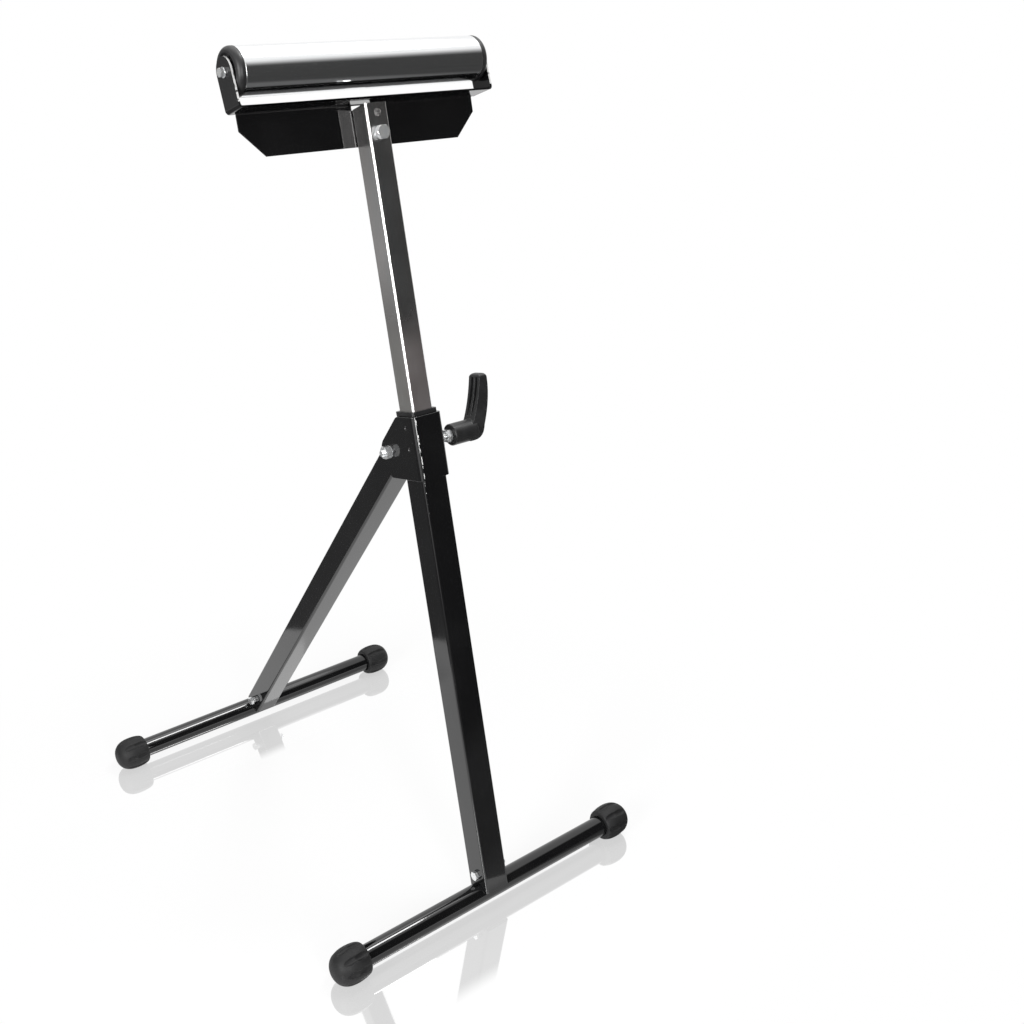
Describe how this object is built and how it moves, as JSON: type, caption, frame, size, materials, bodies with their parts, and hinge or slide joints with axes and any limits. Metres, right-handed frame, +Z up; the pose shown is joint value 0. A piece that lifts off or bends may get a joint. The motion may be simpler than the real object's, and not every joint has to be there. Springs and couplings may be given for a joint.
{
  "type": "roller stand",
  "caption": "Folding roller stand: hinged square-tube legs on crossbars with rubber feet, a clamped sliding mast, and a free-turning chrome roller over a guide plate.",
  "frame": {"origin": "on the floor, midway between the two crossbars and between the ends of the rear crossbar", "axes": "+Z up, X along the roller and the crossbars with the clamp knob on +X, front foot towards -Y"},
  "size_m": [0.441, 0.569, 0.9399],
  "materials": {
    "black_paint": "gloss",
    "plated_tube": "bright zinc plate",
    "chrome": "polished",
    "zinc": "zinc plate",
    "black_plastic": "satin",
    "rubber": "matte",
    "bare_steel": "plain"
  },
  "bodies": {
    "front_frame": {"front_leg": "black_paint", "pivot_bracket": "black_paint", "guide_bush": "black_plastic", "front_crossbar": "black_paint", "front_foot_stub": "bare_steel", "front_foot_cap_left": "rubber", "front_foot_cap_right": "rubber", "front_foot_bolt": "zinc", "front_foot_nut": "zinc", "pivot_bolt": "zinc", "pivot_nut": "zinc", "pivot_washer_left": "zinc", "pivot_washer_right": "zinc", "clamp_nut": "zinc"},
    "rear_frame": {"rear_leg": "black_paint", "rear_crossbar": "black_paint", "rear_foot_stub": "bare_steel", "rear_foot_cap_left": "rubber", "rear_foot_cap_right": "rubber", "rear_foot_bolt": "zinc", "rear_foot_nut": "zinc", "rear_foot_spacer": "zinc"},
    "mast": {"mast_tube": "plated_tube", "mast_end_plug": "black_plastic", "head_bracket": "black_paint", "head_bolt": "zinc", "head_nut": "zinc", "head_washer_front": "zinc", "head_washer_rear": "zinc", "roller_axle": "bare_steel", "axle_bolt_left": "zinc", "axle_bolt_right": "zinc", "axle_washer_left": "zinc", "axle_washer_right": "zinc"},
    "roller": {"roller_tube": "chrome", "roller_cap_left": "black_plastic", "roller_cap_right": "black_plastic", "roller_bearing_left": "bare_steel", "roller_bearing_right": "bare_steel"},
    "clamp_pad": {"clamp_pad": "black_plastic"},
    "knob": {"clamp_knob": "black_plastic", "clamp_screw": "zinc", "knob_lock_nut": "zinc"}
  },
  "joints": [
    {"name": "mast_slide", "type": "slide", "parent": "front_frame", "child": "mast", "axis": [0, 0.2067, 0.9784], "range_m": [-0.27, 0.14]},
    {"name": "rear_leg_fold", "type": "hinge", "parent": "front_frame", "child": "rear_frame", "pos_m": [0, -0.12304, 0.52685], "axis": [1, 0, 0], "range_deg": [-48, 0]},
    {"name": "roller_spin", "type": "hinge", "parent": "mast", "child": "roller", "pos_m": [0, -0.06914, 0.91667], "axis": [1, 0, 0], "continuous": true},
    {"name": "clamp_feed", "type": "slide", "parent": "front_frame", "child": "clamp_pad", "axis": [1, 0, 0], "range_m": [0, 0.00251]},
    {"name": "knob_turn", "type": "hinge", "parent": "clamp_pad", "child": "knob", "pos_m": [0, -0.1539, 0.54042], "axis": [1, 0, 0], "range_deg": [0, 720]}
  ],
  "couplings": [
    {"joint": "clamp_feed", "follows": "knob_turn", "m_per_rad": 0.00019894}
  ]
}
